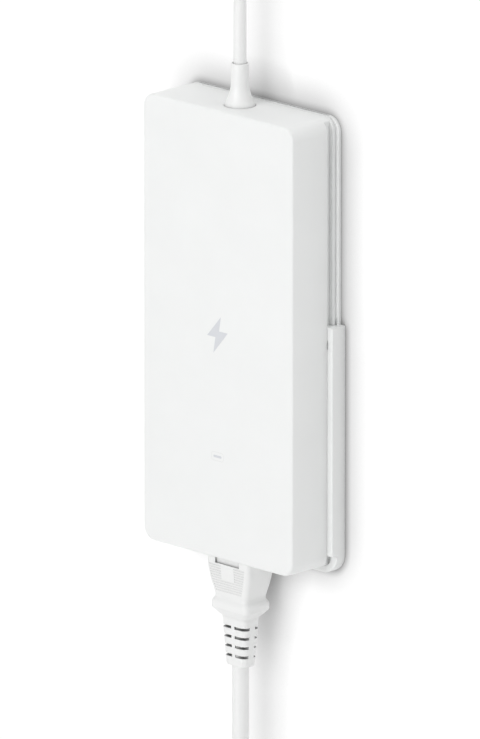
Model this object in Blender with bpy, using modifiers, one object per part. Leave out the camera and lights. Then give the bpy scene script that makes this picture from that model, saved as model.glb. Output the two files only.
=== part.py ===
"""A wall-mounted AC-DC power brick in a slide-in cradle, with a captive output lead on top and an
unpluggable mains lead below. Metres, +Z up. The wall is the plane Y = 0 and the front looks along -Y.
The origin is the centre of the cradle's back."""
import math

import bmesh
import bpy
from mathutils import Vector

MM = 0.001
FIT = 0.3 * MM  # gap between pieces that touch

# Housing
HOUSING_WIDTH = 95.8 * MM
HOUSING_HEIGHT = 211 * MM
HOUSING_CORNER = 6.4 * MM
HOUSING_EDGE = 1.1 * MM
STACK_DEPTH = 30.7 * MM  # front face to the wall
SIDE_DEPTH = 22.45 * MM  # where the side walls end and the guide grooves start
NECK_DEPTH = 26.1 * MM
COVER_FRONT = 26.4 * MM
COVER_BACK = 28.3 * MM
GROOVE_DEPTH = 2.5 * MM
COVER_INSET = 0.55 * MM
SHELL_WALL = 2 * MM
BOSS_RADIUS = 3.6 * MM
BOSS_X = 36.5 * MM
BOSS_INSET_Z = 9 * MM

# Wall cradle
PLATE_WIDTH = 97 * MM
PLATE_HEIGHT = 214 * MM
PLATE_CORNER = 7 * MM
PLATE_THICKNESS = 1.6 * MM
RIB_HALF_WIDTH = 39 * MM  # raised rib that closes the gap behind the housing's top edge
RIB_HEIGHT = 3.4 * MM
FLANGE_OVERHANG = 3.3 * MM  # beyond the housing's side
FLANGE_TOP_DROP = 97 * MM  # below the housing's top
RAIL_RISE = 6.2 * MM  # rail's lower end above the housing's bottom
FLANGE_CORNER = 9 * MM
SHELF_DROP = 3 * MM
SHELF_DEPTH = 25.6 * MM  # front edge of the lower wall, from the front face
WALL_SCREW_RADIUS = 2.1 * MM
WALL_SCREW_PLACES = [(x * MM, z * MM) for x in (-25, 25) for z in (-65, 70)]

# Leads
LEAD_DEPTH = 14.4 * MM  # output lead's axis behind the front face
PLUG_DEPTH = 14.8 * MM  # mains plug's axis behind the front face
OUTPUT_RADIUS = 2.98 * MM
OUTPUT_LENGTH = 64 * MM
MAINS_RADIUS = 3.9 * MM
COIL_DROP = 284 * MM  # coil centre below the origin
COIL_INNER = 28.9 * MM
COIL_OUTER = 53.1 * MM
COIL_BACK = 2.6 * MM
COIL_FRONT = 17.9 * MM
TAIL_X = -48.8 * MM
TAIL_LENGTH = 68 * MM  # from the coil's centre down to the wall plug
WALL_PLUG_Y = -14.5 * MM

# Mains connector
NOSE_WIDTH = 24 * MM
NOSE_DEPTH = 16 * MM
NOSE_LENGTH = 16 * MM
SOCKET_WALL = 2.2 * MM
PIN_PLACES = {"line": (-7 * MM, 2 * MM), "neutral": (7 * MM, 2 * MM), "earth": (0.0, -2 * MM)}
PIN_SIZE = (4 * MM, 2 * MM)
PIN_LENGTH = 21 * MM
FRONT_RIB = 1.0 * MM  # half widths of the strain relief's solid ribs
SIDE_RIB = 1.6 * MM
RELIEF_CORE = 4.2 * MM
RELIEF_SLOT = 1.6 * MM
RELIEF_FIRST = 34.9 * MM  # first row of slots below the housing
RELIEF_PITCH = 4.5 * MM

# Circuit board
BOARD_HALF_WIDTH = 41 * MM
BOARD_BOTTOM = -78 * MM
BOARD_TOP = 97 * MM
BOARD_FRONT = 22 * MM
BOARD_THICKNESS = 1.6 * MM
PART_BASE = BOARD_FRONT - FIT

FRONT_Y = -STACK_DEPTH
HOUSING_BOTTOM = SHELF_DROP - PLATE_HEIGHT / 2
HOUSING_TOP = HOUSING_BOTTOM + HOUSING_HEIGHT
HOUSING_MIDDLE = (HOUSING_BOTTOM + HOUSING_TOP) / 2
LEAD_Y = FRONT_Y + LEAD_DEPTH
PLUG_Y = FRONT_Y + PLUG_DEPTH
COIL_Z = -COIL_DROP
PLUG_BOTTOM = HOUSING_BOTTOM - 53.3 * MM


def clear_scene():
    for obj in list(bpy.data.objects):
        bpy.data.objects.remove(obj, do_unlink=True)


def new_collection(name):
    collection = bpy.data.collections.new(name)
    bpy.context.scene.collection.children.link(collection)
    return collection


def material(name, color, roughness, metallic=0.0):
    made = bpy.data.materials.new(name)
    made.use_nodes = True
    shader = made.node_tree.nodes["Principled BSDF"]
    shader.inputs["Base Color"].default_value = (*color, 1.0)
    shader.inputs["Roughness"].default_value = roughness
    shader.inputs["Metallic"].default_value = metallic
    return made


def behind(depth):
    """The Y of a place this far behind the housing's front face."""
    return FRONT_Y + depth


def scaled(profile):
    """Rows of millimetres in metres."""
    return [tuple(value * MM for value in row) for row in profile]


def keep(obj, name, look):
    """Name a finished piece, give it its material and move it into the adapter's collection."""
    obj.name = name
    obj.data.name = name
    obj.data.materials.clear()
    obj.data.materials.append(look)
    for collection in list(obj.users_collection):
        collection.objects.unlink(obj)
    parts.objects.link(obj)
    obj.data.shade_smooth()
    obj.data.set_sharp_from_angle(angle=math.radians(35))
    return obj


def as_cutter(obj, name):
    obj.name = name
    for collection in list(obj.users_collection):
        collection.objects.unlink(obj)
    cutters.objects.link(obj)
    obj.hide_render = True
    obj.display_type = "WIRE"
    return obj


def boolean(target, other, operation):
    modifier = target.modifiers.new(operation.title() + "_" + other.name, "BOOLEAN")
    modifier.operation = operation
    modifier.object = other
    modifier.solver = "EXACT"
    return target


def cut(target, cutter, name):
    return boolean(target, as_cutter(cutter, name), "DIFFERENCE")


def join(target, other, name):
    return boolean(target, as_cutter(other, name), "UNION")


def meshed(obj):
    """A mesh copy of a curve, with its caps welded on."""
    graph = bpy.context.evaluated_depsgraph_get()
    mesh = bpy.data.meshes.new_from_object(obj.evaluated_get(graph))
    work = bmesh.new()
    work.from_mesh(mesh)
    bmesh.ops.remove_doubles(work, verts=work.verts, dist=1e-6)
    bmesh.ops.recalc_face_normals(work, faces=work.faces)
    work.to_mesh(mesh)
    work.free()
    made = bpy.data.objects.new(obj.name, mesh)
    made.matrix_world = obj.matrix_world
    bpy.context.scene.collection.objects.link(made)
    bpy.data.objects.remove(obj, do_unlink=True)
    return made


def outline(left, right, bottom, top, radii, steps=6):
    """Rounded rectangle as (across, up) points; radii start at the lower left and go round."""
    corners = ((left, bottom, 1, 1), (right, bottom, -1, 1), (right, top, -1, -1), (left, top, 1, -1))
    points = []
    for turn, ((x, z, to_x, to_z), radius) in enumerate(zip(corners, radii)):
        if radius == 0:
            points.append((x, z))
            continue
        start = math.pi + turn * math.pi / 2
        for step in range(steps + 1):
            angle = start + step / steps * math.pi / 2
            across = x + to_x * radius + radius * math.cos(angle)
            points.append((across, z + to_z * radius + radius * math.sin(angle)))
    return points


def slab(name, points, y_front, y_back):
    """A flat outline in the XZ plane, with its thickness along Y."""
    curve = bpy.data.curves.new(name, "CURVE")
    curve.dimensions = "2D"
    curve.fill_mode = "BOTH"
    curve.extrude = (y_back - y_front) / 2
    spline = curve.splines.new("POLY")
    spline.points.add(len(points) - 1)
    for point, (x, z) in zip(spline.points, points):
        point.co = (x, z, 0, 1)
    spline.use_cyclic_u = True
    obj = bpy.data.objects.new(name, curve)
    bpy.context.scene.collection.objects.link(obj)
    obj.rotation_euler = (math.pi / 2, 0, 0)
    obj.location = (0, (y_front + y_back) / 2, 0)
    bpy.context.view_layer.update()
    return meshed(obj)


def block(x_range, y_range, z_range, bevel=0.0):
    """A box between two corners, with rounded edges if a bevel is given."""
    bpy.ops.mesh.primitive_cube_add(size=1)
    obj = bpy.context.active_object
    ranges = (x_range, y_range, z_range)
    obj.location = [(low + high) / 2 for low, high in ranges]
    obj.scale = [high - low for low, high in ranges]
    bpy.ops.object.transform_apply(location=False, rotation=False, scale=True)
    if bevel:
        soften(obj, bevel)
    return obj


def soften(obj, width, segments=2):
    modifier = obj.modifiers.new("Edges", "BEVEL")
    modifier.width = width
    modifier.segments = segments
    modifier.limit_method = "ANGLE"
    modifier.angle_limit = math.radians(40)
    return obj


def rod(radius, start, end, sides=24):
    """A round bar between two points."""
    start = Vector(start)
    end = Vector(end)
    run = end - start
    bpy.ops.mesh.primitive_cylinder_add(vertices=sides, radius=radius, depth=run.length)
    obj = bpy.context.active_object
    obj.location = (start + end) / 2
    obj.rotation_mode = "QUATERNION"
    obj.rotation_quaternion = run.to_track_quat("Z", "Y")
    return obj


def turned(name, profile, place, steps=28, along_y=False):
    """A profile of (radius, height) points, top to bottom, turned round the local Z axis."""
    mesh = bpy.data.meshes.new(name)
    points = [(radius, 0, height) for radius, height in profile]
    mesh.from_pydata(points, [(i, i + 1) for i in range(len(points) - 1)], [])
    obj = bpy.data.objects.new(name, mesh)
    bpy.context.scene.collection.objects.link(obj)
    obj.location = place
    if along_y:
        obj.rotation_euler = (math.pi / 2, 0, 0)
    screw = obj.modifiers.new("Turn", "SCREW")
    screw.steps = steps
    screw.render_steps = steps
    screw.use_merge_vertices = True
    screw.merge_threshold = 1e-5
    return obj


def ring(name, inner, outer, height, place, steps=28, along_y=False):
    """A square-edged ring whose wall goes all the way round."""
    half = height / 2
    profile = [(inner, half), (outer, half), (outer, -half), (inner, -half), (inner, half)]
    return turned(name, profile, place, steps, along_y)


def smooth_run(points, spacing):
    """Points about this far apart on a smooth curve through the given ones."""
    points = [Vector(point) for point in points]
    padded = [2 * points[0] - points[1], *points, 2 * points[-1] - points[-2]]
    run = []
    for a, b, c, d in zip(padded, padded[1:], padded[2:], padded[3:]):
        steps = max(1, round((c - b).length / spacing))
        for step in range(steps):
            t = step / steps
            along = 2 * b + (c - a) * t + (2 * a - 5 * b + 4 * c - d) * t**2
            run.append((along + (3 * b - a - 3 * c + d) * t**3) / 2)
    run.append(points[-1])
    return run


def tube(name, points, radius, spacing, look):
    curve = bpy.data.curves.new(name, "CURVE")
    curve.dimensions = "3D"
    curve.bevel_depth = radius
    curve.bevel_resolution = 2
    curve.use_fill_caps = True
    run = smooth_run(points, spacing)
    spline = curve.splines.new("POLY")
    spline.points.add(len(run) - 1)
    for point, place in zip(spline.points, run):
        point.co = (*place, 1)
    obj = bpy.data.objects.new(name, curve)
    bpy.context.scene.collection.objects.link(obj)
    return keep(meshed(obj), name, look)


def section(width, depth, radius, height):
    points = outline(-width / 2, width / 2, -depth / 2, depth / 2, (radius,) * 4, 4)
    return [Vector((x, y, height)) for x, y in points]


def loft(name, sections, place):
    """A solid through rounded-rectangle sections (height, width, depth, corner), top to bottom."""
    work = bmesh.new()
    loops = []
    for height, width, depth, radius in sections:
        loops.append([work.verts.new(point) for point in section(width, depth, radius, height)])
    for upper, lower in zip(loops, loops[1:]):
        for index, corner in enumerate(upper):
            after = (index + 1) % len(upper)
            work.faces.new((corner, upper[after], lower[after], lower[index]))
    work.faces.new(loops[0])
    work.faces.new(loops[-1])
    bmesh.ops.recalc_face_normals(work, faces=work.faces)
    mesh = bpy.data.meshes.new(name)
    work.to_mesh(mesh)
    work.free()
    obj = bpy.data.objects.new(name, mesh)
    bpy.context.scene.collection.objects.link(obj)
    obj.location = place
    return obj


def wall_mount():
    half_plate = PLATE_WIDTH / 2
    half_height = PLATE_HEIGHT / 2
    outer = HOUSING_WIDTH / 2 + FLANGE_OVERHANG
    flange_top = HOUSING_TOP - FLANGE_TOP_DROP
    side_gap = HOUSING_WIDTH / 2 - COVER_INSET + FIT
    plate = slab(
        "plate",
        outline(-half_plate, half_plate, -half_height, half_height, (PLATE_CORNER,) * 4),
        -PLATE_THICKNESS,
        0,
    )
    shoe_outline = outline(-outer, outer, -half_height, flange_top, (FLANGE_CORNER, FLANGE_CORNER, 0, 0))
    shoe = slab("shoe", shoe_outline, behind(SHELF_DEPTH), 0)
    pocket_outline = outline(
        -side_gap, side_gap, HOUSING_BOTTOM - FIT, HOUSING_TOP, (HOUSING_CORNER, HOUSING_CORNER, 0, 0)
    )
    pocket = slab("pocket", pocket_outline, FRONT_Y, -PLATE_THICKNESS)
    join(plate, shoe, "shoe_cutter")
    cut(plate, pocket, "pocket_cutter")
    rail_inner = HOUSING_WIDTH / 2 - GROOVE_DEPTH + FIT
    for side, word in ((-1, "left"), (1, "right")):
        across = sorted((side * rail_inner, side * outer))
        rail = block(
            across,
            (behind(SIDE_DEPTH + FIT), behind(NECK_DEPTH)),
            (HOUSING_BOTTOM + RAIL_RISE, flange_top),
        )
        join(plate, rail, "rail_" + word)
        side_wall = block(
            sorted((side * side_gap, side * outer)),
            (behind(SIDE_DEPTH + FIT), behind(SHELF_DEPTH) + 1 * MM),
            (HOUSING_BOTTOM + RAIL_RISE, flange_top),
        )
        join(plate, side_wall, "side_wall_" + word)
    rib = block(
        (-RIB_HALF_WIDTH, RIB_HALF_WIDTH),
        (behind(COVER_BACK) + FIT, -PLATE_THICKNESS / 2),
        (half_height - RIB_HEIGHT, half_height),
    )
    join(plate, rib, "top_rib")
    for number, (x, z) in enumerate(WALL_SCREW_PLACES, 1):
        hole = rod(WALL_SCREW_RADIUS, (x, -6 * MM, z), (x, 2 * MM, z), 16)
        cut(plate, hole, f"wall_screw_hole_{number}")
    return keep(plate, "wall_mount", white_shell)


def front_housing():
    half = HOUSING_WIDTH / 2
    shell = slab(
        "housing",
        outline(-half, half, HOUSING_BOTTOM, HOUSING_TOP, (HOUSING_CORNER,) * 4),
        FRONT_Y,
        behind(NECK_DEPTH),
    )
    soften_front(shell)
    for side, word in ((-1, "left"), (1, "right")):
        groove = block(
            sorted((side * (half - GROOVE_DEPTH), side * (half + 5 * MM))),
            (behind(SIDE_DEPTH), behind(NECK_DEPTH) + 2 * MM),
            (HOUSING_BOTTOM - 5 * MM, HOUSING_TOP + 5 * MM),
        )
        cut(shell, groove, "groove_" + word)
    inner = half - SHELL_WALL
    low = HOUSING_BOTTOM + SHELL_WALL
    high = HOUSING_TOP - SHELL_WALL
    radii = (HOUSING_CORNER - SHELL_WALL,) * 4
    wide = slab("wide", outline(-inner, inner, low, high, radii), behind(SHELL_WALL), behind(20 * MM))
    cut(shell, wide, "wide_cavity")
    neck = half - GROOVE_DEPTH - SHELL_WALL
    narrow = slab(
        "narrow",
        outline(-neck, neck, low, high, radii),
        behind(18 * MM),
        behind(NECK_DEPTH) + 2 * MM,
    )
    cut(shell, narrow, "narrow_cavity")
    for number, (x, z) in enumerate(boss_places(), 1):
        boss = rod(BOSS_RADIUS, (x, behind(SHELL_WALL / 2), z), (x, behind(NECK_DEPTH), z), 20)
        join(shell, boss, f"boss_{number}")
        bore = rod(1.6 * MM, (x, behind(14 * MM), z), (x, behind(NECK_DEPTH) + 2 * MM, z), 16)
        cut(shell, bore, f"boss_bore_{number}")
    socket_x = NOSE_WIDTH / 2 + SOCKET_WALL + 2 * FIT
    socket_y = NOSE_DEPTH / 2 + SOCKET_WALL + 2 * FIT
    inlet_hole = block(
        (-socket_x, socket_x),
        (PLUG_Y - socket_y, PLUG_Y + socket_y),
        (HOUSING_BOTTOM - 5 * MM, HOUSING_BOTTOM + 5 * MM),
    )
    cut(shell, inlet_hole, "inlet_hole")
    gland_hole = rod(
        4.4 * MM, (0, LEAD_Y, HOUSING_TOP - 6 * MM), (0, LEAD_Y, HOUSING_TOP + 5 * MM), 28
    )
    cut(shell, gland_hole, "gland_hole")
    recess = rod(7.65 * MM, (0, LEAD_Y, HOUSING_TOP - 0.8 * MM), (0, LEAD_Y, HOUSING_TOP + 5 * MM), 32)
    cut(shell, recess, "gland_recess")
    return keep(shell, "front_housing", white_shell)


def soften_front(shell):
    """Round only the edge round the front face."""
    work = bmesh.new()
    work.from_mesh(shell.data)
    front = shell.matrix_world.inverted() @ Vector((0, FRONT_Y, 0))
    rim = [
        edge
        for edge in work.edges
        if edge.calc_face_angle(0) > 1.0
        and all(abs(vert.co.z - front.z) < 1e-6 for vert in edge.verts)
    ]
    bmesh.ops.bevel(work, geom=rim, offset=HOUSING_EDGE, segments=3, profile=0.5, affect="EDGES")
    work.to_mesh(shell.data)
    work.free()


def boss_places():
    low = HOUSING_BOTTOM + BOSS_INSET_Z
    high = HOUSING_TOP - BOSS_INSET_Z
    return [(-BOSS_X, low), (BOSS_X, low), (-BOSS_X, high), (BOSS_X, high)]


def rear_cover():
    half = HOUSING_WIDTH / 2 - COVER_INSET
    points = outline(
        -half, half, HOUSING_BOTTOM + 0.2 * MM, HOUSING_TOP - 0.2 * MM, (HOUSING_CORNER - COVER_INSET,) * 4
    )
    cover = slab("cover", points, behind(COVER_FRONT), behind(COVER_BACK))
    for number, (x, z) in enumerate(boss_places(), 1):
        hole = rod(1.7 * MM, (x, behind(COVER_FRONT) - 2 * MM, z), (x, behind(COVER_BACK) + 2 * MM, z), 16)
        cut(cover, hole, f"cover_hole_{number}")
        seat = rod(3.0 * MM, (x, behind(COVER_FRONT) + 0.8 * MM, z), (x, behind(COVER_BACK) + 2 * MM, z), 16)
        cut(cover, seat, f"cover_screw_seat_{number}")
    return keep(cover, "rear_cover", white_shell)


def cover_screws():
    """Pan-head screws, driven from the back into the housing's bosses, flush with the cover."""
    profile = [(0, 9.4), (0.6, 9.4), (1.3, 8.4), (1.3, 0), (2.6, 0), (2.1, -0.6), (1.2, -0.75), (0, -0.75)]
    head_front = behind(COVER_FRONT) + 0.8 * MM + FIT
    for number, (x, z) in enumerate(boss_places(), 1):
        screw = turned(f"screw_{number}", scaled(profile), (x, head_front, z), 16, along_y=True)
        keep(screw, f"cover_screw_{number}", steel)


def output_gland():
    """Trumpet-shaped strain relief with a flange held behind the housing's top wall."""
    profile = [
        (3.3, 19.8), (3.9, 19.8), (4.15, 19.5), (4.15, 9.6), (4.3, 7.4), (4.7, 5.2), (5.4, 3.2),
        (6.3, 1.6), (7.1, 0.6), (7.1, -0.4), (4.05, -0.4), (4.05, -2.4), (6.0, -2.4), (6.0, -4.2),
        (3.3, -4.2), (3.3, 19.8),
    ]
    gland = turned("gland", scaled(profile), (0, LEAD_Y, HOUSING_TOP))
    return keep(gland, "output_gland", white_soft)


def output_lead():
    bottom = HOUSING_TOP - 3.8 * MM
    top = HOUSING_TOP + OUTPUT_LENGTH
    places = [(0, LEAD_Y, bottom + (top - bottom) * step / 4) for step in range(5)]
    tube("output_lead", places, OUTPUT_RADIUS, 15 * MM, white_soft)


def output_connector():
    """Barrel connector on the end of the output lead."""
    base = HOUSING_TOP + OUTPUT_LENGTH + FIT
    grip = [
        (0, 33.0), (3.2, 33.0), (3.2, 34.0), (4.9, 34.0), (5.3, 33.6), (5.3, 20.0), (4.9, 17.0),
        (4.4, 14.0), (4.0, 9.0), (3.6, 0.4), (3.3, 0), (0, 0),
    ]
    keep(turned("grip", scaled(grip), (0, LEAD_Y, base)), "output_plug_grip", white_soft)
    barrel = base + 33.3 * MM
    rings = (
        ("sleeve", 2.2, 2.75, 9.7, nickel),
        ("insulator", 1.5, 1.9, 9.5, black_plastic),
        ("contact", 0.7, 1.2, 9.0, nickel),
    )
    for name, inner, outer, length, look in rings:
        middle = (0, LEAD_Y, barrel + length / 2 * MM)
        keep(ring(name, inner * MM, outer * MM, length * MM, middle), "output_plug_" + name, look)


def mains_inlet():
    half_x = NOSE_WIDTH / 2 + SOCKET_WALL + FIT
    half_y = NOSE_DEPTH / 2 + SOCKET_WALL + FIT
    floor = HOUSING_BOTTOM + NOSE_LENGTH + 2 * FIT
    inlet = block(
        (-half_x, half_x), (PLUG_Y - half_y, PLUG_Y + half_y), (HOUSING_BOTTOM + FIT, floor + 3 * MM)
    )
    cavity = block(
        (-NOSE_WIDTH / 2 - FIT, NOSE_WIDTH / 2 + FIT),
        (PLUG_Y - NOSE_DEPTH / 2 - FIT, PLUG_Y + NOSE_DEPTH / 2 + FIT),
        (HOUSING_BOTTOM - 5 * MM, floor),
    )
    cut(inlet, cavity, "inlet_cavity")
    for pin, (x, y) in PIN_PLACES.items():
        half = [size / 2 for size in PIN_SIZE]
        y_middle = PLUG_Y + y
        slot = block(
            (x - half[0] - FIT, x + half[0] + FIT),
            (y_middle - half[1] - FIT, y_middle + half[1] + FIT),
            (floor - 2 * MM, floor + 6 * MM),
        )
        cut(inlet, slot, "inlet_slot_" + pin)
        top = floor + 7 * MM
        blade = block(
            (x - half[0], x + half[0]),
            (y_middle - half[1], y_middle + half[1]),
            (top - PIN_LENGTH, top),
            0.3 * MM,
        )
        keep(blade, "inlet_pin_" + pin, nickel)
    return keep(inlet, "mains_inlet", black_plastic)


def mains_plug():
    """Appliance connector: nose, waisted grip, flange and slotted strain relief."""
    top = HOUSING_BOTTOM
    nose = loft(
        "nose",
        [
            (NOSE_LENGTH, NOSE_WIDTH - 1 * MM, NOSE_DEPTH - 1 * MM, 2 * MM),
            (NOSE_LENGTH - 0.6 * MM, NOSE_WIDTH, NOSE_DEPTH, 2 * MM),
            (-2 * MM, NOSE_WIDTH, NOSE_DEPTH, 2 * MM),
        ],
        (0, PLUG_Y, top),
    )
    outlines = [
        (-0.35, 26.4, 17.4, 3.0),
        (-1.0, 27.0, 18.0, 3.0),
        (-6.0, 26.7, 17.8, 3.0),
        (-11.0, 25.3, 17.0, 3.0),
        (-15.0, 23.4, 15.9, 2.8),
        (-18.0, 21.5, 14.9, 2.6),
        (-20.2, 20.7, 14.6, 2.5),
        (-21.4, 21.4, 15.1, 2.5),
        (-22.9, 23.5, 16.5, 2.2),
        (-26.0, 23.5, 16.5, 2.2),
        (-30.3, 15.8, 10.6, 2.0),
        (-35.0, 15.4, 10.2, 2.0),
        (-53.3, 12.9, 8.4, 2.0),
    ]
    grip = loft("grip", scaled(outlines), (0, PLUG_Y, top))
    join(grip, nose, "plug_nose")
    for row in range(4):
        z = top - RELIEF_FIRST - row * RELIEF_PITCH
        for across in (-1, 1):
            for out in (-1, 1):
                slot = block(
                    sorted((across * FRONT_RIB, across * 12 * MM)),
                    sorted((PLUG_Y + out * SIDE_RIB, PLUG_Y + out * 12 * MM)),
                    (z - RELIEF_SLOT / 2, z + RELIEF_SLOT / 2),
                )
                core = rod(RELIEF_CORE, (0, PLUG_Y, z - 3 * MM), (0, PLUG_Y, z + 3 * MM), 20)
                boolean(slot, as_cutter(core, f"relief_core_{row}_{across}_{out}"), "DIFFERENCE")
                cut(grip, slot, f"relief_slot_{row}_{across}_{out}")
    bore = rod(3.2 * MM, (0, PLUG_Y, PLUG_BOTTOM - 2.7 * MM), (0, PLUG_Y, PLUG_BOTTOM + 3.3 * MM), 20)
    cut(grip, bore, "plug_cord_bore")
    for pin, (x, y) in PIN_PLACES.items():
        slot = block(
            (x - 3.1 * MM, x + 3.1 * MM),
            (PLUG_Y + y - 2.1 * MM, PLUG_Y + y + 2.1 * MM),
            (top + 1 * MM, top + 20 * MM),
        )
        cut(grip, slot, "plug_slot_" + pin)
        contact_sleeve(pin, x, PLUG_Y + y, top)
    return keep(grip, "mains_plug", white_soft)


def contact_sleeve(pin, x, y, top):
    low = top + 1.3 * MM
    high = top + 15 * MM
    sleeve = block((x - 2.8 * MM, x + 2.8 * MM), (y - 1.8 * MM, y + 1.8 * MM), (low, high))
    bore_z = (low + 0.5 * MM, high + 2 * MM)
    inside = block((x - 2.3 * MM, x + 2.3 * MM), (y - 1.3 * MM, y + 1.3 * MM), bore_z)
    cut(sleeve, inside, "sleeve_bore_" + pin)
    keep(sleeve, "plug_contact_" + pin, brass)


def mains_cord():
    """Hangs straight down from the plug, then the rest is wound in a coil and tied."""
    start = PLUG_BOTTOM - FIT
    end = COIL_Z + COIL_OUTER + FIT
    route = [
        (0, PLUG_Y, start),
        (0, PLUG_Y, start - 18 * MM),
        (0, PLUG_Y, -198 * MM),
        (0, PLUG_Y - 2.2 * MM, -211 * MM),
        (0, PLUG_Y - 5.0 * MM, end + 9 * MM),
        (0, PLUG_Y - 5.3 * MM, end),
    ]
    tube("mains_cord", route, MAINS_RADIUS, 12 * MM, white_cord)
    edge = 3 * MM
    half = (COIL_FRONT - COIL_BACK) / 2
    profile = [
        (COIL_INNER + edge, half), (COIL_OUTER - edge, half), (COIL_OUTER, half - edge),
        (COIL_OUTER, edge - half), (COIL_OUTER - edge, -half), (COIL_INNER + edge, -half),
        (COIL_INNER, edge - half), (COIL_INNER, half - edge), (COIL_INNER + edge, half),
    ]
    middle = -(COIL_FRONT + COIL_BACK) / 2
    coil = turned("coil", profile, (0, middle, COIL_Z), 32, along_y=True)
    keep(coil, "mains_cord_coil", white_cord)
    tie_x = (-COIL_OUTER - 0.7 * MM, 0.7 * MM - COIL_INNER)
    tie = block((tie_x[0] - MM, tie_x[1] + MM), (-27.0 * MM, -1.0 * MM), (COIL_Z - 4 * MM, COIL_Z + 4 * MM))
    hole = block(tie_x, (-26.0 * MM, -2.0 * MM), (COIL_Z - 9 * MM, COIL_Z + 9 * MM))
    cut(tie, hole, "tie_hole")
    keep(tie, "cord_tie", white_soft)
    tail = [
        (TAIL_X, -6.9 * MM, COIL_Z - 30 * MM),
        (TAIL_X, -8.0 * MM, COIL_Z - 40 * MM),
        (TAIL_X, -12.6 * MM, COIL_Z - 52 * MM),
        (TAIL_X, WALL_PLUG_Y, COIL_Z - 62 * MM),
        (TAIL_X, WALL_PLUG_Y, COIL_Z - TAIL_LENGTH),
    ]
    tube("mains_cord_tail", tail, MAINS_RADIUS, 10 * MM, white_cord)


def wall_plug():
    """Moulded three-pin plug on the far end of the mains cord, hanging with its pins down."""
    y = WALL_PLUG_Y
    top = COIL_Z - TAIL_LENGTH - FIT
    outlines = [
        (0, 9.0, 9.0, 3.0),
        (-14, 12.0, 11.5, 3.5),
        (-18, 20.0, 17.0, 4.0),
        (-22, 25.0, 22.0, 4.5),
        (-38, 26.0, 24.0, 4.5),
        (-40, 25.0, 23.0, 4.5),
    ]
    body = loft("wall_plug", scaled(outlines), (TAIL_X, y, top))
    face = top - 40 * MM
    for word, side in (("line", -1), ("neutral", 1)):
        x = TAIL_X + side * 6.35 * MM
        blade_y = (y - 1.25 * MM, y + 5.05 * MM)
        pocket_y = (blade_y[0] - FIT, blade_y[1] + FIT)
        pocket = block((x - 1.1 * MM, x + 1.1 * MM), pocket_y, (face - 2 * MM, face + 3 * MM))
        cut(body, pocket, "blade_pocket_" + word)
        blade_z = (face - 17 * MM, face + 2.7 * MM)
        blade = block((x - 0.76 * MM, x + 0.76 * MM), blade_y, blade_z, 0.2 * MM)
        keep(blade, "wall_plug_blade_" + word, brass)
    place = (TAIL_X, y - 8 * MM)
    pocket = rod(2.75 * MM, (*place, face - 2 * MM), (*place, face + 3 * MM), 16)
    cut(body, pocket, "earth_pocket")
    pin = [(0.0, 2.7), (2.4, 2.7), (2.4, -17.5), (1.6, -19.5), (0.0, -20.0)]
    keep(turned("earth_pin", scaled(pin), (*place, face), 16), "wall_plug_pin_earth", brass)
    keep(body, "wall_plug", white_soft)


def board_block(name, x_range, z_range, front, look, bevel=0.0):
    """A part standing on the board's front, in millimetres across and up, reaching to this depth."""
    obj = block(
        [x * MM for x in x_range],
        (behind(front * MM), behind(PART_BASE)),
        [z * MM for z in z_range],
        bevel,
    )
    return keep(obj, name, look)


def board_can(name, x, z, radius, front):
    can = rod(radius * MM, (x * MM, behind(front * MM), z * MM), (x * MM, behind(PART_BASE), z * MM))
    soften(can, 0.5 * MM)
    return keep(can, name, capacitor_sleeve)


def wound_part(name, x, z, flange_x, flange_z, leg, front):
    """Two core plates joined by a round leg, with a winding round the leg."""
    x, z, leg = x * MM, z * MM, leg * MM
    half_x, half_z = flange_x / 2 * MM, flange_z / 2 * MM
    low, high = behind(front * MM), behind(PART_BASE)
    plate = 2.5 * MM
    core = block((x - half_x, x + half_x), (low, low + plate), (z - half_z, z + half_z))
    far = block((x - half_x, x + half_x), (high - plate, high), (z - half_z, z + half_z))
    join(core, far, name + "_far_plate")
    join(core, rod(leg, (x, low + 1 * MM, z), (x, high - 1 * MM, z), 20), name + "_leg")
    keep(core, name + "_core", ferrite)
    height = high - low - 2 * plate - 2 * FIT
    outer = min(half_x, half_z) - 0.8 * MM
    place = (x, (low + high) / 2, z)
    winding = ring("winding", leg + FIT, outer, height, place, 24, along_y=True)
    keep(winding, name + "_winding", copper)


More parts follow.
